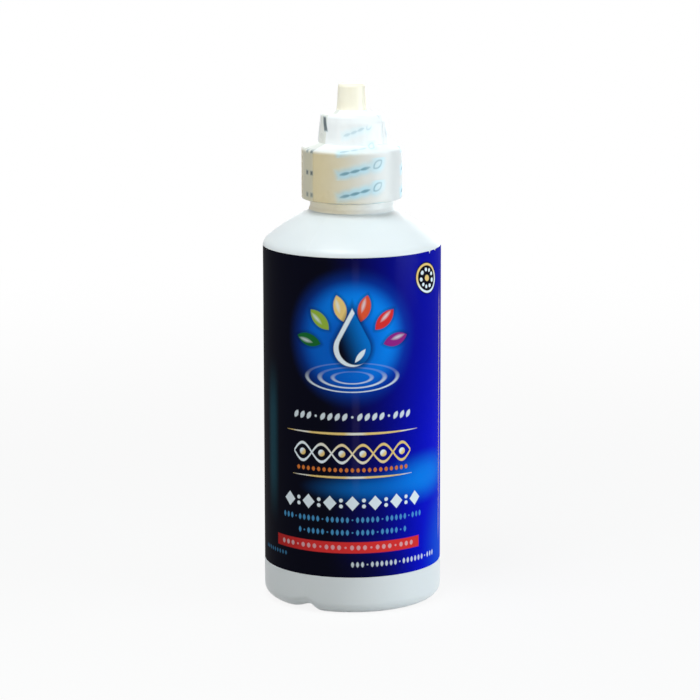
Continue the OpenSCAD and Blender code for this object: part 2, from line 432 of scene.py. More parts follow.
class Sheet:
    """Draws a material, or the world, with shader nodes, from Terms and plain numbers."""

    def __init__(self, name, world=False):
        self.material = (bpy.data.worlds if world else bpy.data.materials).new(name)
        self.material.use_nodes = True
        self.tree = self.material.node_tree
        self.shader = self.tree.nodes["Background" if world else "Principled BSDF"]

    @cached_property
    def place(self):
        return Term(self, self.tree.nodes.new("ShaderNodeTexCoord").outputs["Object"])

    def feed(self, socket, value):
        if isinstance(value, Term):
            self.tree.links.new(value.socket, socket)
        elif socket.type == "RGBA" and len(value) == 3:
            socket.default_value = (*value, 1)
        else:
            socket.default_value = value

    def node(self, kind, **inputs):
        made = self.tree.nodes.new(kind)
        for key, value in inputs.items():
            self.feed(made.inputs[key.replace("_", " ")], value)
        return made

    def out(self, node, name=0):
        return Term(self, node.outputs[name])

    def set(self, **values):
        """Sets inputs of the surface shader. An underscore in a name stands for a space."""
        for key, value in values.items():
            self.feed(self.shader.inputs[key.replace("_", " ")], value)

    def math(self, operation, *values):
        made = self.tree.nodes.new("ShaderNodeMath")
        made.operation = operation
        for socket, value in zip(made.inputs, values):
            self.feed(socket, value)
        return self.out(made)

    def most(self, *terms):
        """The greatest of several values."""
        out = terms[0]
        for term in terms[1:]:
            out = self.math("MAXIMUM", out, term)
        return out

    def least(self, a, b):
        return self.math("MINIMUM", a, b)

    def ramp(self, value, low, high, a=0.0, b=1.0, smooth=False):
        """a at low, b at high, straight or smooth between and level outside."""
        made = self.node("ShaderNodeMapRange", Value=value, From_Min=low, From_Max=high, To_Min=a, To_Max=b)
        made.interpolation_type = "SMOOTHSTEP" if smooth else "LINEAR"
        return self.out(made)

    def ease(self, value, low, high, a=0.0, b=1.0):
        return self.ramp(value, low, high, a, b, smooth=True)

    def fill(self, distance, blur=0.05):
        """1 where distance is negative, with an edge of blur millimetres each way."""
        return self.ramp(distance, -blur, blur, 1.0, 0.0)

    def length(self, x, y):
        return self.math("SQRT", x * x + y * y)

    def mix(self, a, b, factor):
        """Colour a where factor is 0 and b where it is 1."""
        made = self.tree.nodes.new("ShaderNodeMix")
        made.data_type = "RGBA"
        for socket, value in zip((made.inputs[0], made.inputs[6], made.inputs[7]), (factor, a, b)):
            self.feed(socket, value)
        return self.out(made, 2)

    def grain(self, scale, detail=2.0):
        return self.out(self.node("ShaderNodeTexNoise", Vector=self.place, Scale=scale, Detail=detail), "Fac")

    def bump(self, height, strength, depth):
        """depth is in metres."""
        made = self.node("ShaderNodeBump", Height=height, Strength=strength, Distance=depth)
        self.set(Normal=self.out(made))

    def axes(self):
        """x, y and z in millimetres."""
        parts = self.node("ShaderNodeSeparateXYZ", Vector=self.place)
        return [self.out(parts, i) * (1 / MM) for i in range(3)]

    def seen(self):
        """1 where something is seen, mirrored or seen through something clear, and 0 where it lights."""
        path = self.node("ShaderNodeLightPath")
        rays = [self.out(path, f"Is {kind} Ray") for kind in ("Camera", "Glossy", "Transmission")]
        return self.least(rays[0] + rays[1] + rays[2], 1.0)

    def unrolled(self, radius):
        """Millimetres round the surface from the front, and height in millimetres."""
        x, y, z = self.axes()
        return self.math("ARCTAN2", x, y * -1) * radius, z


# Shapes on an unrolled surface. x and y are from the shape's middle, in millimetres, and each gives the
# distance to the shape's edge, negative inside.


def diamond(x, y, half_width, half_height):
    return (abs(x) / half_width + abs(y) / half_height - 1) * min(half_width, half_height)


def leaf(s, x, y, half_width, half_height):
    """Where two circles cross: an upright pointed oval."""
    radius = (half_width**2 + half_height**2) / (2 * half_width)
    return s.length(abs(x) + (radius - half_width), y) - radius


def drop(s, x, y, radius, tip):
    """A circle drawn out to a point at height tip."""
    lean = math.asin(radius / tip)
    cone = abs(x) * math.cos(lean) + y * math.sin(lean) - radius
    above = radius * math.sin(lean) - y
    return s.least(s.length(x, y) - radius, s.most(cone, above))


def turned(x, y, degrees):
    """Coordinates in which a shape stands turned anticlockwise by that much."""
    cos, sin = math.cos(math.radians(degrees)), math.sin(math.radians(degrees))
    return x * cos + y * sin, y * cos - x * sin


def cells(s, x, pitch):
    """Position from the middle of the cell, and the cell's number."""
    number = s.math("FLOOR", x / pitch + 0.5)
    return x - number * pitch, number


# Finishes


def moulded(name, tone, roughness=0.34, glow=0.1):
    """Satin moulded plastic with slow cloudiness and faint orange peel."""
    s = Sheet(name)
    deep = [c * 0.965 for c in tone]
    s.set(
        Base_Color=s.mix(deep, tone, s.ease(s.grain(45, 3), 0.36, 0.64)),
        Roughness=s.ramp(s.grain(700), 0.3, 0.7, roughness - 0.04, roughness + 0.06),
        Subsurface_Weight=glow,
        Subsurface_Radius=(1, 0.85, 0.7),
        Subsurface_Scale=0.0012,
        IOR=1.5,
    )
    s.bump(s.grain(1100, 3), 0.1, 0.0001)
    return s


def cap_plastic(colours):
    """Ivory plastic, deeper in tone down the skirt than in the thin finger tip: partly the plastic's own
    tone, partly painted shade on the skirt and painted light on the tip.
    """
    s = moulded("cap_polypropylene", colours.cap, roughness=0.42, glow=0.15)
    z = s.axes()[2]
    cloud = s.grain(60, 3)
    # Deeper towards the skirt: partly the plastic's tone, partly painted shade low on the cap and painted
    # light up the tip.
    depth = s.ease(z, 99.5, 91) * 0.85 + (cloud - 0.5) * 0.5
    s.set(Base_Color=s.mix(colours.cap, colours.cap_deep, depth))
    return s.material


def liner_foam(tone):
    s = Sheet("liner_foam")
    holes = s.node("ShaderNodeTexVoronoi", Vector=s.place, Scale=2600)
    cell = s.out(holes, "Distance")
    s.set(Base_Color=s.mix([c * 0.8 for c in tone], tone, s.ease(cell, 0.1, 0.5)), Roughness=0.75)
    s.bump(cell, 0.4, 0.0002)
    return s.material


def liquid(tone):
    s = Sheet("clear_solution")
    drift = s.grain(30, 2)
    s.set(
        Base_Color=s.mix([c * 0.97 for c in tone], tone, drift),
        Roughness=s.ramp(drift, 0.3, 0.7, 0.01, 0.03),
        IOR=1.334,
        Transmission_Weight=1,
    )
    s.bump(drift, 0.02, 0.0002)
    return s.material


class LabelArt:
    """The print of the wrap label, built up from its ground in layers."""

    def __init__(self, inks):
        self.inks = inks
        self.sheet = Sheet("label_print")
        self.u, self.z = self.sheet.unrolled(LABEL_R)
        self.paint = None

    def lay(self, ink, mask):
        self.paint = self.sheet.mix(self.paint, ink, mask)

    def at(self, u, z):
        """Coordinates from a point on the label."""
        return self.u - u, self.z - z

    def within(self, x, half):
        return self.sheet.fill(abs(x) - half)

    def ground(self):
        """Night blue at the left of the front, royal at the right, and night again behind: partly the print's
        own gradient and partly painted shade on the left, where less light falls.
        """
        s, inks = self.sheet, self.inks
        right = s.ease(self.u, -6, 20) * s.ease(self.u, 54, 32)
        low = s.ease(self.z, 60, 20) * s.ease(self.u, 4, 22) * s.ease(self.u, 46, 30)
        self.paint = s.mix(inks.night, inks.royal, s.least(right * 0.62 + low * 0.5, 1))
        # Darker low at the left: painted shade.
        self.lay(inks.night, s.ease(self.z, 15, 9) * s.ease(self.u, 16, 2) * 0.7)
        # Painted reflection: a faint blue-green upright streak at the left, laid as ink.
        x, y = self.at(-19.6, 34)
        self.lay(inks.painted_teal_reflection, s.ease(abs(x), 2.6, 0.4) * s.ease(abs(y), 18, 5) * 0.85)
        # Painted highlight: a faint purple upright streak at the middle, laid as ink.
        x, y = self.at(0.7, 48)
        self.lay(inks.painted_violet_highlight, s.ease(abs(x), 1.1, 0.3) * s.ease(abs(y), 26, 20) * 0.55)

    def glow(self, u, z, wide, tall, strength):
        """A soft oval of light."""
        s = self.sheet
        x, y = self.at(u, z)
        self.lay(self.inks.azure, s.ease(s.length(x / wide, y / tall), 1, 0.1) * strength)

    def aura(self, u, z):
        """Light behind the drop, brightest at its upper right."""
        s, inks = self.sheet, self.inks
        x, y = self.at(u, z)
        out = s.length(x, y * 0.96)
        side = s.ease(x + y * 0.8, -12, 11, 0.3, 1)
        self.lay(inks.cobalt, s.ease(out, 14.2, 8) * s.ramp(x, -10, 6, 0.7, 0.95))
        self.lay(inks.azure, s.ease(out, 11.6, 7.4) * s.ease(out, 2.5, 7.4, 0.4, 1) * side)

    def petals(self, u, z):
        """A fan of six petals that opens upwards from (u, z)."""
        s, inks = self.sheet, self.inks
        fan = (inks.green, inks.lime, inks.gold, inks.coral, inks.red, inks.plum)
        for i, ink in enumerate(fan):
            x, y = turned(*self.at(u, z), 75 - 30 * i)
            petal = leaf(s, x, y - 9.3, 1.25, 2.7)
            self.lay(inks.night, s.fill(petal - 0.3, 0.45) * 0.55)
            self.lay(ink, s.fill(petal, 0.1))
            self.lay(inks.white, s.fill(leaf(s, x + 0.3, y - 9.9, 0.3, 1.3), 0.25) * 0.65)

    def ripples(self, u, z):
        """Rings on water, brighter where they come forward."""
        s = self.sheet
        x, y = self.at(u, z)
        for reach, line in ((9.4, 0.36), (6.6, 0.42), (3.9, 0.36)):
            wave = abs(s.length(x, y * 3.2) - reach) - line
            self.lay(self.inks.white, s.fill(wave, 0.2) * s.ramp(y, 1, -1.6, 0.12, 0.85))

    def water_drop(self, u, z):
        """A dark drop with a bright rim on its left and a glint low on its right."""
        s, inks = self.sheet, self.inks
        x, y = self.at(u, z)
        self.lay(inks.night, s.fill(drop(s, x, y, 4.1, 8.8), 0.7) * 0.85)
        edge = s.fill(drop(s, x, y, 3.7, 8), 0.1)
        self.lay(s.mix(inks.night, inks.azure, s.ease(x + y * 0.35, -2.6, 4.6, 0, 0.75)), edge)
        inner = s.fill(drop(s, x - 0.8, y - 0.15, 3.5, 7.5) * -1, 0.1)
        self.lay(inks.white, edge * inner)
        self.lay(inks.white, s.fill(leaf(s, *turned(x - 1.6, y + 1.5, -38), 0.5, 1.7), 0.08))

    def rule(self, u, z, half, line):
        """A gold rule that thins out towards its ends, with glints along it."""
        s = self.sheet
        x, y = self.at(u, z)
        along = (x / half) * (x / half)
        body = abs(y) - s.ramp(along, 0, 1, line / 2, 0.03)
        glint = s.ease(s.math("SINE", x * 0.55 + 1.2), 0.2, 1, 0, 0.7)
        self.lay(s.mix(self.inks.gold, self.inks.white, glint), s.fill(body, 0.07) * self.within(x, half))

    def lens_chain(self, u, z, reach, pitch, tall, line):
        """Two gold waves that cross to make reach lenses on either side of u, with a bead in each."""
        s, inks = self.sheet, self.inks
        x, y = self.at(u, z)
        half = reach * pitch
        swing = s.math("SINE", x * (math.pi / pitch)) * (tall / 2)
        waves = s.least(abs(y - swing), abs(y + swing)) - line / 2
        inside = self.within(x, half)
        shine = s.ease(x + y * 2, -half * 0.7, half * 0.5)
        self.lay(s.mix(inks.white, inks.gold, shine), s.fill(waves, 0.07) * inside)
        cx, _ = cells(s, x - pitch / 2, pitch)
        bead = s.length(cx, y) - tall * 0.19
        self.lay(s.mix(inks.gold, inks.white, s.ease(y - cx, -0.5, 0.5)), s.fill(bead, 0.07) * inside)

    def gems(self, ink, u, z, reach, pitch, tall):
        """Lozenges with a pair of dots between each two: one at u and reach more on either side."""
        s = self.sheet
        x, y = self.at(u, z)
        half = (reach + 0.35) * pitch
        cx, _ = cells(s, x, pitch)
        gem = diamond(cx, y, pitch * 0.3, tall / 2)
        dots = s.length(abs(abs(cx) - pitch / 2), abs(y) - tall * 0.2) - tall * 0.13
        self.lay(ink, s.fill(s.least(gem, dots), 0.07) * self.within(x, half))

    def seeds(self, ink, u, z, reach, pitch, tall, strength=1, skip=0, lean=0):
        """A small pointed oval at u and reach more on either side. One in skip is a dot, if skip isn't 0."""
        s = self.sheet
        x, y = self.at(u, z)
        half = (reach + 0.48) * pitch
        cx, number = cells(s, x, pitch)
        seed = leaf(s, *turned(cx, y, lean), pitch * 0.3, tall / 2)
        mask = s.fill(seed, 0.08)
        if skip:
            gap = s.fill(s.math("FLOORED_MODULO", number, skip) - 0.5, 0.1)
            mask = mask * (1 - gap) + s.fill(s.length(cx, y) - pitch * 0.16, 0.08) * gap
        self.lay(ink, mask * self.within(x, half) * strength)

    def ribbon(self, u, z, half, tall):
        s = self.sheet
        x, y = self.at(u, z)
        shade = s.mix([c * 0.6 for c in self.inks.red], self.inks.red, s.ease(x, -half, -half * 0.2))
        self.lay(shade, s.fill(s.most(abs(x) - half, abs(y) - tall / 2), 0.08))

    def badge(self, u, z):
        """A small tilted medal: a gold hoop round a ring of beads."""
        s, inks = self.sheet, self.inks
        x, y = turned(*self.at(u, z), -28)
        oval = s.length(x * 0.9, y * 1.12)
        self.lay(inks.night, s.fill(oval - 3.5, 0.2))
        self.lay(s.mix(inks.gold, inks.white, s.ease(x - y, -2, 2.6)), s.fill(abs(oval - 3) - 0.25))
        around, _ = cells(s, s.math("ARCTAN2", x, y) * (9 / math.tau), 1)
        self.lay(inks.white, s.fill(s.length(around * 1.35, oval - 1.85) - 0.42))
        self.lay(inks.gold, s.fill(oval - 0.7))

    def back(self):
        """The rear of the label: two panels of fine rows under a small drop, and a gold line between."""
        s, inks = self.sheet, self.inks
        for side in (-1, 1):
            x, y = self.at(side * 38, 38)
            row, number = cells(s, y, 2.2)
            chance = s.node("ShaderNodeTexWhiteNoise")
            chance.noise_dimensions = "1D"
            s.feed(chance.inputs["W"], number + side * 31.5)
            length = s.ramp(s.out(chance, "Value"), 0, 1, 7, 11)
            line = s.most(abs(row) - 0.22, x - length, abs(x) - 11, abs(y) - 22.5)
            self.lay(inks.pale, s.fill(line) * 0.8)
            x, y = self.at(side * 38, 65.5)
            self.lay(inks.azure, s.fill(drop(s, x, y, 1.6, 3.4)))
            self.lay(inks.white, s.fill(abs(s.length(x, y * 2.6 + 4.6) - 3.8) - 0.22) * s.ramp(y, -0.6, -2))
        x, y = self.at(24, 38)
        self.lay(inks.gold, s.fill(abs(x) - 0.18) * s.ease(abs(y), 27, 22) * 0.8)

    def finish(self):
        s = self.sheet
        scuff = s.grain(160, 4)
        s.set(
            Base_Color=self.paint,
            Roughness=s.ramp(scuff, 0.35, 0.7, 0.38, 0.5),
            Specular_IOR_Level=0,
            Coat_Weight=0.06,
            Coat_Roughness=0.14,
        )
        s.bump(s.grain(90, 2), 0.05, 0.0003)
        return s.material


def label_print(inks):
    art = LabelArt(inks)
    art.ground()
    art.glow(17, 27, 13, 6, 0.8)
    art.glow(5, 26, 17, 3.6, 0.5)
    art.glow(24, 12, 9, 14, 0.25)
    art.aura(0, 56.5)
    art.petals(0, 53.5)
    art.ripples(0, 48.6)
    art.water_drop(0, 54.5)
    art.seeds(inks.white, 0, 40.6, 8, 1.5, 1.7, strength=0.85, skip=5, lean=-28)
    art.rule(0, 37.2, 14.5, 0.5)
    art.lens_chain(0, 33.1, 3, 4.2, 3.6, 0.55)
    art.seeds(inks.amber, 0, 29.8, 10, 1.15, 0.9)
    art.rule(0, 28.3, 13, 0.45)
    art.gems(inks.white, 0, 23, 3, 4.6, 3)
    art.seeds(inks.pale, 0, 19.6, 15, 1.02, 1.2, strength=0.7, skip=6)
    art.seeds(inks.pale, 0, 17, 11, 1.02, 1.2, strength=0.7, skip=5)
    art.ribbon(-1.4, 13.9, 16.4, 2.3)
    art.seeds(inks.white, -1.4, 13.9, 11, 1.3, 1, strength=0.4, skip=4)
    art.seeds(inks.white, 10, 10.4, 10, 1, 1.15, strength=0.75, skip=7)
    art.seeds(inks.pale, -19, 11.4, 4, 0.95, 0.9, strength=0.35)
    art.badge(17.6, 67.2)
    art.back()
    return art.finish()


def shrink_film(name, inks, printed):
    """Clear shrink film, milkier to the right, partly where it hangs loose and partly as painted light, and
    whiter at grazing angles as painted reflection. The printed one has slanted sprigs; the plain one has
    painted warm light at its left.
    """
    s = Sheet(name)
    a, z = s.unrolled(FILM_R)
    haze = s.grain(150, 4)
    drift = s.grain(55, 2) - 0.5
    # Opacity rises at grazing angles: painted reflection of the pale surroundings along the film's edges.
    edge = s.out(s.node("ShaderNodeLayerWeight", Blend=0.25), "Facing")
    # Milkier to the right: partly the loose film, partly painted light on the side that the lamps light most.
    right = s.ease(a + drift * 14, -7, 11) * s.ease(a, 30, 20)
    body = 0.37 + right * 0.35 + (haze - 0.5) * 0.1 + edge * edge * 0.1
    if printed:
        # pale rises from the left of the front to the right, clearing the painted warm shade towards the lit
        # side.
        pale = s.ease(a + drift * 14, -7, 9)
        body, tint = film_print(s, inks, a, z, body, haze, pale)
    else:
        # Painted warm light: the left of the neck film is more opaque and pale cream, lifting the shade under
        # the cap.
        body = body + s.ease(a, 9, -6) * 0.7
        tint = s.mix(inks.painted_warm_light, inks.clear, s.ease(a, -4, 6))
    s.set(
        Base_Color=tint,
        Alpha=s.least(s.most(body, 0.35), 0.95),
        Roughness=s.ramp(haze, 0.3, 0.7, 0.26, 0.42),
        IOR=1.4,
    )
    s.bump(s.grain(420, 3), 0.1, 0.0002)
    return s.material


def film_print(s, inks, a, z, body, haze, pale):
    """Opacity and colour of the printed film: sprigs, a grey band of painted reflection near the left edge
    with its marks, and painted shade along creases.
    """
    x, y, _ = s.axes()
    climb = z + s.most(0, 9.6 - s.length(x, y)) * 0.6
    above = s.ease(z, 91.4, 92.6)
    # A greyish band near the cap's left edge: painted reflection of the pale surroundings where the film is
    # seen at a grazing angle.
    painted_reflection_band = s.fill(abs(a + 11.2) - 2.3, 0.12)
    column, _ = cells(s, a - 1.9, math.tau * FILM_R / 4)
    row, _ = cells(s, climb - 88.9, 4.5)
    along, across = turned(column, row, 14)
    bud, _ = cells(s, along + 1.3, 2.1)
    chain = s.most(leaf(s, across, bud, 0.3, 1.15), abs(along + 1.3) - 3.15)
    open_leaf = abs(leaf(s, *turned(column - 3.5, row - 0.9, -50), 0.62, 1.1)) - 0.13
    mark = s.least(chain, open_leaf)
    front = s.ease(a, -7, -4) * s.ease(a, 27, 24.5) * s.ease(z, 97.6, 96.6)
    strength = s.ease(z, 92.9, 91.9, 0.35, 1) * s.ease(haze, 0.3, 0.6, 0.45, 1) * front
    halo = s.ease(mark, 1.5, 0) * 0.22 * strength
    dot_row, _ = cells(s, z - 87.7, 4.4)
    dots = s.most(abs(abs(a + 10.05) - 0.8) - 0.42, abs(dot_row) - 0.42, z - 92.3)
    bar_mark = s.most(abs(a + 9.8 + (z - 97.2) * 0.55) - 0.85, abs(z - 97.2) - 1.4)
    blot = s.fill(s.least(dots, bar_mark), 0.2) * s.ease(haze, 0.3, 0.55, 0.6, 1)
    ink = s.most(s.fill(mark, 0.14) * strength, blot * 0.9)
    loose = s.ease(a, 6, 11) * s.ease(a, 22, 17) * s.ease(z, 93, 94.5)
    wander = s.grain(180, 3) * 14
    # Grey streaks along slanted creases of the loose film: painted shade.
    painted_crease_shade = s.ease(s.math("SINE", a * 0.9 + z * 0.6 + wander), 0.5, 1) * loose * s.ease(haze, 0.38, 0.62)
    body = body + above * (0.56 - pale * 0.36) + painted_reflection_band * 0.22 + painted_crease_shade * 0.4
    body = s.most(body + halo, ink * 0.8)
    # Tan at the left of the skirt film, clear to the right: painted warm shade on the side away from the
    # lamps.
    tint = s.mix(inks.painted_warm_shade, inks.clear, s.most(pale, above))
    tint = s.mix(tint, inks.halo, s.least(halo * 5, 1))
    tint = s.mix(tint, inks.grey, painted_reflection_band * 0.6)
    tint = s.mix(tint, inks.painted_crease_shade, painted_crease_shade * 0.9)
    return body, s.mix(tint, s.mix(inks.ink, inks.dark, blot), ink)


# Pieces


class LENSBOTTLE_OT_bottle(Operator):
    """Blown bottle with its thread, creased heel and raised base"""

    bl_idname = "lens_bottle.bottle"
    bl_label = "Bottle"

    def execute(self, context):
        shape = context.scene.bottle_shape
        bm = bmesh.new()
        self.outline(bm, shape)
        near = [(side - 1.2, side + 1.2, 0.3) for side in (PARTING, PARTING + 180)]
        turn(bm, bearings(shape.steps, fine=near))
        self.sculpt(bm, shape)
        bottle = shell("bottle_shell", bm)
        thread = screw_ridge("neck_thread", shape.finish, crest=8.85, root_width=2, crest_width=0.9, start=0)
        fuse(bottle, thread)
        finish = moulded("bottle_polyethylene", context.scene.plastics.bottle)
        hand_over(bottle, finish.material, "bottle_body", "bottle")
        return {"FINISHED"}

    def outline(self, bm, shape):
        """Half section of the bottle: up the outside, over the lip and down the inside."""
        panel = LABEL_R - 0.12
        foot_out = BODY_R - shape.heel
        foot_in = foot_out - shape.foot
        toe, dish, dish_edge, lip, bore_edge = 0.5, foot_in - 2.6, 1.2, 0.3, 0.2
        edge_x = BODY_R - shape.edge
        steep, gentle = shape.steep, shape.gentle
        above_steep, above_gentle = 90 - math.degrees(steep), 90 - math.degrees(gentle)
        long_r = (edge_x + shape.edge * math.sin(steep) - shape.band) / (math.sin(steep) - math.sin(gentle))
        long_x = shape.band - long_r * math.sin(gentle)
        long_z = shape.shoulder - long_r * math.cos(gentle)
        edge_z = long_z + (long_r - shape.edge) * math.cos(steep)
        meet = math.asin((shape.band + shape.fillet - long_x) / (long_r + shape.fillet))
        fillet_z = long_z + (long_r + shape.fillet) * math.cos(meet)
        meet = math.degrees(meet)

        pen = Pen(bm, 0, shape.push_up)
        pen.line(dish, shape.push_up, 6)
        pen.arc(dish, shape.push_up - dish_edge, dish_edge, 90, 40, 4)
        pen.arc(foot_in + toe, toe, toe, 225, 270, 3)
        pen.arc(foot_out, shape.heel, shape.heel, -90, 0, 12)
        pen.line(BODY_R, LABEL_LOW - 0.1, 4)
        pen.line(panel, LABEL_LOW)
        pen.line(panel, LABEL_HIGH, 8)
        rim = math.degrees(math.asin((LABEL_HIGH + 0.05 - edge_z) / shape.edge))
        pen.arc(edge_x, edge_z, shape.edge, rim, above_steep, 10)
        pen.arc(long_x, long_z, long_r, above_steep, 90 - meet, 18)
        pen.arc(shape.band + shape.fillet, fillet_z, shape.fillet, 270 - meet, 180, 6)
        pen.lines((shape.band, CAP_LOW - 0.3), (shape.band - 0.12, CAP_LOW - 0.15))
        pen.line(shape.finish, CAP_LOW + 0.25)
        pen.arc(shape.finish - lip, NECK_TOP - lip, lip, 0, 90, 4)
        pen.arc(shape.bore + bore_edge, NECK_TOP - bore_edge, bore_edge, 90, 180, 3)
        pen.line(shape.bore, shape.shoulder)
        pen.arc(long_x, long_z, long_r - shape.wall, above_gentle, above_steep, 8)
        pen.arc(edge_x, edge_z, shape.edge - shape.wall, above_steep, 0, 3)
        pen.arc(foot_out, shape.heel, shape.heel - shape.wall, 0, -90, 6)
        pen.lines((foot_in + 0.3, shape.wall), (foot_in - 1.5, shape.push_up + shape.wall))
        pen.line(0, shape.push_up + shape.wall)

    def sculpt(self, bm, shape):
        """Draws the heel up into a crease at the parting line, and raises the line and the base's weld."""
        near = 0.4  # degrees on either side of the line
        ridge, weld, weld_half, weld_end = 0.02, 0.2, 0.4, BODY_R - 7
        for vert, around, r, z in places(bm.verts):
            off = around - PARTING
            low = ease(z, 5.5, 1.0) * ease(r, BODY_R - 9, BODY_R - 5)
            broad = ease(off, -62, -34) * ease(off, 12, -2)
            spread = 10.0 if off < 0 else 4.7
            push(vert, up=low * (shape.lift * broad + shape.crease * math.exp(-((off / spread) ** 2))))
            nearest = min(abs(off), abs(off - 180), abs(off + 180))
            bare = z < LABEL_LOW or LABEL_HIGH + 0.2 < z < CAP_LOW - 0.4
            if nearest < near and bare and r > shape.band - 0.1:
                push(vert, out=ridge, up=ridge if z > LABEL_HIGH else 0)
            if z < shape.push_up + 0.1 and r < weld_end and r * math.sin(math.radians(nearest)) < weld_half:
                push(vert, up=-weld)


class LENSBOTTLE_OT_cap(Operator):
    """Stepped screw cap with its flared finger tip, sealing pin and inner thread"""

    bl_idname = "lens_bottle.cap"
    bl_label = "Cap"

    def execute(self, context):
        shape = context.scene.cap_shape
        bm = bmesh.new()
        self.outline(bm, shape)
        turn(bm, bearings(context.scene.bottle_shape.steps))
        cap = shell("screw_cap", bm)
        thread = screw_ridge("cap_thread", shape.bore, crest=8.15, root_width=1.9, crest_width=1.2, start=180)
        fuse(cap, thread)
        hand_over(cap, cap_plastic(context.scene.plastics), "cap_body", "cap")
        return {"FINISHED"}

    def outline(self, bm, shape):
        """Half section of the cap: up the outside, then from the lip up the inside to the pin."""
        bore, top, flare = shape.bore, shape.skirt_top, shape.flare
        step, step_top = shape.step, shape.step_top
        lip, edge, corner, step_edge, tip_edge = 0.25, 0.5, 0.3, 0.4, 0.7
        roof, tip_bore, tip_roof, pin, pin_low = top - 1.15, 1.95, 103.3, 0.5, 101.9
        pen = Pen(bm, bore + 0.15, CAP_LOW)
        pen.arc(SKIRT_R - lip, CAP_LOW + lip, lip, -90, 0, 4)
        pen.line(SKIRT_R, top - edge, 6)
        pen.arc(SKIRT_R - edge, top - edge, edge, 0, 90, 7)
        pen.arc(step + corner, top + corner, corner, 270, 180, 4)
        pen.arc(step - step_edge, step_top - step_edge, step_edge, 0, 90, 6)
        pen.arc(shape.tip + flare, step_top + flare, flare, 270, 180, 10)
        pen.arc(shape.tip - 0.9, CAP_TOP - tip_edge, tip_edge, 0, 90, 8)
        pen.line(0, CAP_TOP, 2)
        inner = Pen(bm, bore + 0.15, CAP_LOW)
        inner.lines((bore, CAP_LOW + 0.2), (bore, roof), (5, roof), (4.9, step_top - 1.4))
        inner.lines((tip_bore, step_top - 0.4), (tip_bore, tip_roof), (pin, tip_roof), (pin, 102.5))
        inner.lines((pin - 0.2, pin_low), (0, pin_low))
        bmesh.ops.remove_doubles(bm, verts=bm.verts[:], dist=SAME)


class LENSBOTTLE_OT_label(Operator):
    """Printed label with a gap at the back and two nicks in its upper edge"""

    bl_idname = "lens_bottle.label"
    bl_label = "Label"

    def execute(self, context):
        shape = context.scene.film_shape
        half = 180 - math.degrees(shape.gap) / 2
        nicks = ((59.5, 1.2, 0.75), (67.5, 1.8, 0.4))
        bm = bmesh.new()
        pen = Pen(bm, LABEL_R - 0.01, LABEL_LOW + 0.01)
        pen.line(LABEL_R - 0.01, LABEL_HIGH - 1.5, 24)
        pen.line(LABEL_R - 0.01, LABEL_HIGH - 0.01, 6)
        turn(bm, bearings(168, -half, half, fine=[(56, 72, 0.5)]))
        for vert, around, _, z in places(bm.verts):
            edge = ease(z, LABEL_HIGH - 2.5, LABEL_HIGH)
            nick = sum(deep * max(0, 1 - abs(around - at) / half_wide) for at, half_wide, deep in nicks)
            waves = noise.noise(Vector((around * 0.035, z * 0.05, 3.1))) - 0.6
            curl = 0.03 * ease(abs(around), half - 6, half)
            push(vert, out=waves * shape.wave - curl, up=-nick * edge)
        label = shell("wrap_label", bm, shape.label)
        hand_over(label, label_print(context.scene.label_inks), "bottle_body", "label")
        return {"FINISHED"}


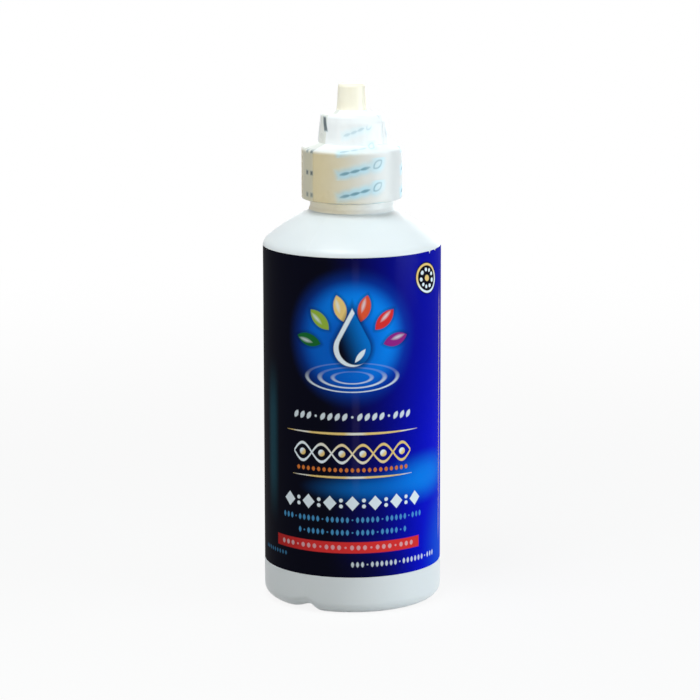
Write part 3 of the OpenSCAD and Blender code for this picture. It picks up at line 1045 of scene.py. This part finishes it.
class LENSBOTTLE_OT_film(Operator):
    """Shrink film over the cap, and what is left of it on the neck"""

    bl_idname = "lens_bottle.film"
    bl_label = "Shrink film"

    def execute(self, context):
        inks = context.scene.film_inks
        cap = self.cap_film(context)
        hand_over(cap, shrink_film("printed_film", inks, True), "cap_body", "seal_band_upper")
        neck = self.neck_film(context)
        hand_over(neck, shrink_film("plain_film", inks, False), "bottle_body", "seal_band_lower")
        return {"FINISHED"}

    def cap_film(self, context):
        film, cap = context.scene.film_shape, context.scene.cap_shape
        r = SKIRT_R + 0.12
        bm = bmesh.new()
        pen = Pen(bm, SKIRT_R - 0.6, CAP_LOW - 0.05)
        pen.line(SKIRT_R - 0.05, CAP_LOW - 0.07, 2)
        pen.arc(r - 0.2, CAP_LOW + 0.12, 0.2, -80, 0, 4)
        pen.line(r, cap.skirt_top - 0.5, 28)
        pen.arc(r - 0.6, cap.skirt_top - 0.5, 0.6, 0, 62, 7)
        pen.line(cap.step + 0.75, cap.skirt_top + 1.0, 8)
        pen.line(cap.step + 0.22, cap.step_top - 0.55, 18)
        pen.arc(cap.step - 0.33, cap.step_top - 0.45, 0.55, 0, 84, 6)
        foot = cap.tip + cap.flare
        pen.arc(foot, cap.step_top + cap.flare, cap.flare - 0.1, 268, 205, 7)
        turn(bm, bearings(216))
        self.drape(bm, film, cap)
        return shell("cap_film", bm, film.film)

    def drape(self, bm, film, cap):
        """Pulls the film to the right over the step and pleats it where it is loose."""
        skirt, step = cap.skirt_top, cap.step_top
        for vert, around, _, z in places(bm.verts):
            right = 0.5 + 0.5 * math.sin(math.radians(around + 12))
            tent = ease(z, skirt + 0.1, skirt + 1.2) * ease(z, step - 0.1, step - 1.6)
            crown = ease(z, step - 2.5, step - 0.5) * ease(z, step + 0.9, step + 0.15)
            sleeve = ease(z, skirt - 0.2, skirt - 2.0)
            ripple = noise.noise(Vector((math.radians(around) * 5.5, z * 0.22, 1.7)))
            crumple = noise.noise(vert.co / MM * 0.55)
            loose = tent * (0.35 + 0.65 * right)
            out = loose * (film.slack * right + film.pleat * (ripple + 0.35)) + crown * 0.12 * right
            push(vert, out=out - 0.02 * sleeve * (crumple + 0.5), up=loose * 0.12 * crumple)

    def neck_film(self, context):
        film, bottle = context.scene.film_shape, context.scene.bottle_shape
        r = bottle.band + 0.1
        bm = bmesh.new()
        pen = Pen(bm, r, NECK_FILM_HIGH)
        pen.line(r, NECK_FILM_LOW + 0.7, 6)
        pen.line(r + 0.3, NECK_FILM_LOW + 0.06, 5)
        turn(bm, bearings(216))
        for vert, around, _, z in places(bm.verts):
            way = Vector((math.sin(math.radians(around)), math.cos(math.radians(around)), 0))
            ragged = noise.noise(way * 2.4 + Vector((0, 0, 0.3)))
            torn = noise.noise(way * 9 + Vector((0, 0, 4.1)))
            up = 0.14 * (torn - 0.5) * ease(z, NECK_FILM_HIGH - 0.8, NECK_FILM_HIGH)
            push(vert, out=0.03 * (ragged - 0.6) * ease(z, NECK_FILM_HIGH, NECK_FILM_LOW + 0.4), up=up)
        return shell("neck_film", bm, film.film)


class LENSBOTTLE_OT_inside(Operator):
    """Dropper plug, liner ring and solution"""

    bl_idname = "lens_bottle.inside"
    bl_label = "Inside pieces"

    def execute(self, context):
        colours = context.scene.plastics
        plug = moulded("dropper_polyethylene", colours.dropper, roughness=0.28)
        dress_node("dropper_insert", plug.material)
        dress_node("cap_liner", liner_foam(colours.liner))
        dress_node("solution", liquid(colours.liquid))
        return {"FINISHED"}


# Stage

COOL, WARM, WHITE = (0.93, 1.0, 1.02), (1.0, 0.97, 0.91), (1.0, 1.0, 1.0)

# Azimuth and elevation in degrees, distance, width and height in metres, and tint
LAMPS = {
    "side": (75, 3, 0.45, 0.3, 0.16, COOL),
    "front": (-30, 16, 0.26, 0.12, 0.1, WARM),
    "top": (-32, 67, 0.2, 0.1, 0.1, COOL),
    "back": (165, 10, 0.6, 0.5, 0.3, WHITE),
}


class LENSBOTTLE_OT_stage(Operator):
    """Pale floor, soft lamps and the camera"""

    bl_idname = "lens_bottle.stage"
    bl_label = "Stage"

    def execute(self, context):
        stage = context.scene.bottle_stage
        self.camera(context, stage)
        self.floor()
        self.sky(context, stage)
        for name, place in LAMPS.items():
            self.lamp(name + "_lamp", getattr(stage, name), *place)
        context.scene.view_settings.view_transform = "Standard"
        return {"FINISHED"}

    def camera(self, context, stage):
        data = bpy.data.cameras.new("camera")
        data.sensor_width = 36
        data.lens = stage.focal * data.sensor_width
        camera = add("camera", data)
        look = Matrix.Rotation(math.pi / 2 - stage.tilt, 4, "X") @ Matrix.Rotation(stage.roll, 4, "Z")
        camera.matrix_world = Matrix.Translation((stage.aside, -stage.distance, stage.height)) @ look
        context.scene.camera = camera

    def lamp(self, name, power, azimuth, elevation, distance, width, height, tint):
        """An area lamp that faces the bottle. Azimuth 0 is the camera's side, positive to the right."""
        data = bpy.data.lights.new(name, "AREA")
        data.shape = "RECTANGLE"
        data.size, data.size_y, data.energy = width, height, power
        data.color = tint
        lamp = add(name, data)
        a, e = math.radians(azimuth), math.radians(elevation)
        way = Vector((math.sin(a) * math.cos(e), -math.cos(a) * math.cos(e), math.sin(e)))
        lamp.location = Vector((0, 0, CAP_TOP / 2 * MM)) + way * distance
        lamp.rotation_euler = way.to_track_quat("Z", "Y").to_euler()

    def floor(self):
        bm = bmesh.new()
        bmesh.ops.create_circle(bm, cap_ends=True, radius=6, segments=64)
        floor = loose_object("floor", bm)
        floor.data.materials.append(white_floor(near=0.05, far=0.4, plain_near=0.88))

    def sky(self, context, stage):
        """Even white light, at full white where it is seen."""
        s = Sheet("studio", world=True)
        context.scene.world = s.material
        s.set(Color=(1.0, 1.0, 1.0), Strength=s.ramp(s.seen(), 0.0, 1.0, stage.sky, 1.0))


def white_floor(near, far, plain_near):
    """White paper that keeps the shadow near the bottle and is plain white past far, in metres."""
    s = Sheet("floor_white")
    s.tree.nodes.remove(s.shader)
    seen = s.seen()
    x, y, _ = s.axes()
    plain = s.ease(s.length(x, y) * MM, near, far, plain_near, 1.0)
    paint = s.node("ShaderNodeBsdfDiffuse", Color=s.mix((0.5, 0.5, 0.5), (0.95, 0.95, 0.95), seen))
    glow = s.node("ShaderNodeEmission", Color=(1.0, 1.0, 1.0), Strength=1.0)
    blend = s.node("ShaderNodeMixShader", Fac=seen * plain)
    s.tree.links.new(paint.outputs[0], blend.inputs[1])
    s.tree.links.new(glow.outputs[0], blend.inputs[2])
    s.tree.links.new(blend.outputs[0], s.tree.nodes["Material Output"].inputs["Surface"])
    return s.material


# Add-on

OPERATORS = (
    LENSBOTTLE_OT_stage,
    LENSBOTTLE_OT_bottle,
    LENSBOTTLE_OT_cap,
    LENSBOTTLE_OT_label,
    LENSBOTTLE_OT_film,
    LENSBOTTLE_OT_inside,
)

GROUPS = {
    "bottle_shape": BottleShape,
    "cap_shape": CapShape,
    "film_shape": FilmShape,
    "plastics": Plastics,
    "label_inks": LabelInks,
    "film_inks": FilmInks,
    "bottle_stage": StageSettings,
}


class LENSBOTTLE_PT_sidebar(Panel):
    """Lists the steps that dress the bottle"""

    bl_label = "Lens Solution Bottle"
    bl_space_type = "VIEW_3D"
    bl_region_type = "UI"
    bl_category = "Bottle"

    def draw(self, context):
        for operator in OPERATORS:
            self.layout.operator(operator.bl_idname)


def register():
    for cls in (*GROUPS.values(), *OPERATORS, LENSBOTTLE_PT_sidebar):
        bpy.utils.register_class(cls)
    for name, group in GROUPS.items():
        setattr(bpy.types.Scene, name, PointerProperty(type=group))


def unregister():
    for name in GROUPS:
        delattr(bpy.types.Scene, name)
    for cls in (LENSBOTTLE_PT_sidebar, *reversed(OPERATORS), *reversed(GROUPS.values())):
        bpy.utils.unregister_class(cls)


def main():
    register()
    for operator in OPERATORS:
        group, name = operator.bl_idname.split(".")
        getattr(getattr(bpy.ops, group), name)()


if __name__ == "__main__":
    main()
